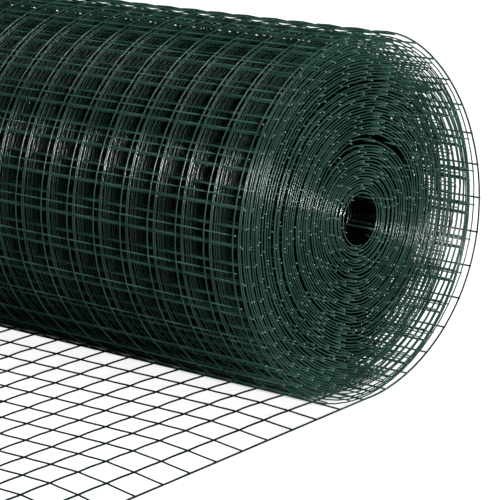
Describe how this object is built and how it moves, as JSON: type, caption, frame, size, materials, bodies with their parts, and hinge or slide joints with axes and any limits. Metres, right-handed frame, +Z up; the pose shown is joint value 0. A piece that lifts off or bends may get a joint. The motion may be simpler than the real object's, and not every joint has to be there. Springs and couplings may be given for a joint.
{
  "type": "roll of wire fencing",
  "caption": "Roll of green coated welded wire mesh fencing lying on its side, with a loose outer turn and its free end unrolled flat.",
  "frame": {"origin": "middle of the footprint, on the floor that the roll and its free end lie on", "axes": "+X along the roll, +Y from the free end to the back of the roll, +Z up"},
  "size_m": [1.003, 0.5727, 0.2565],
  "materials": {
    "green_coating": "smooth glossy dark green plastic coating on steel wire"
  },
  "bodies": {
    "root": {"roll": "green_coating", "loose_turn_upper": "green_coating", "loose_turn_lower": "green_coating", "free_end_root": "green_coating", "free_end_tip": "green_coating"}
  },
  "joints": []
}
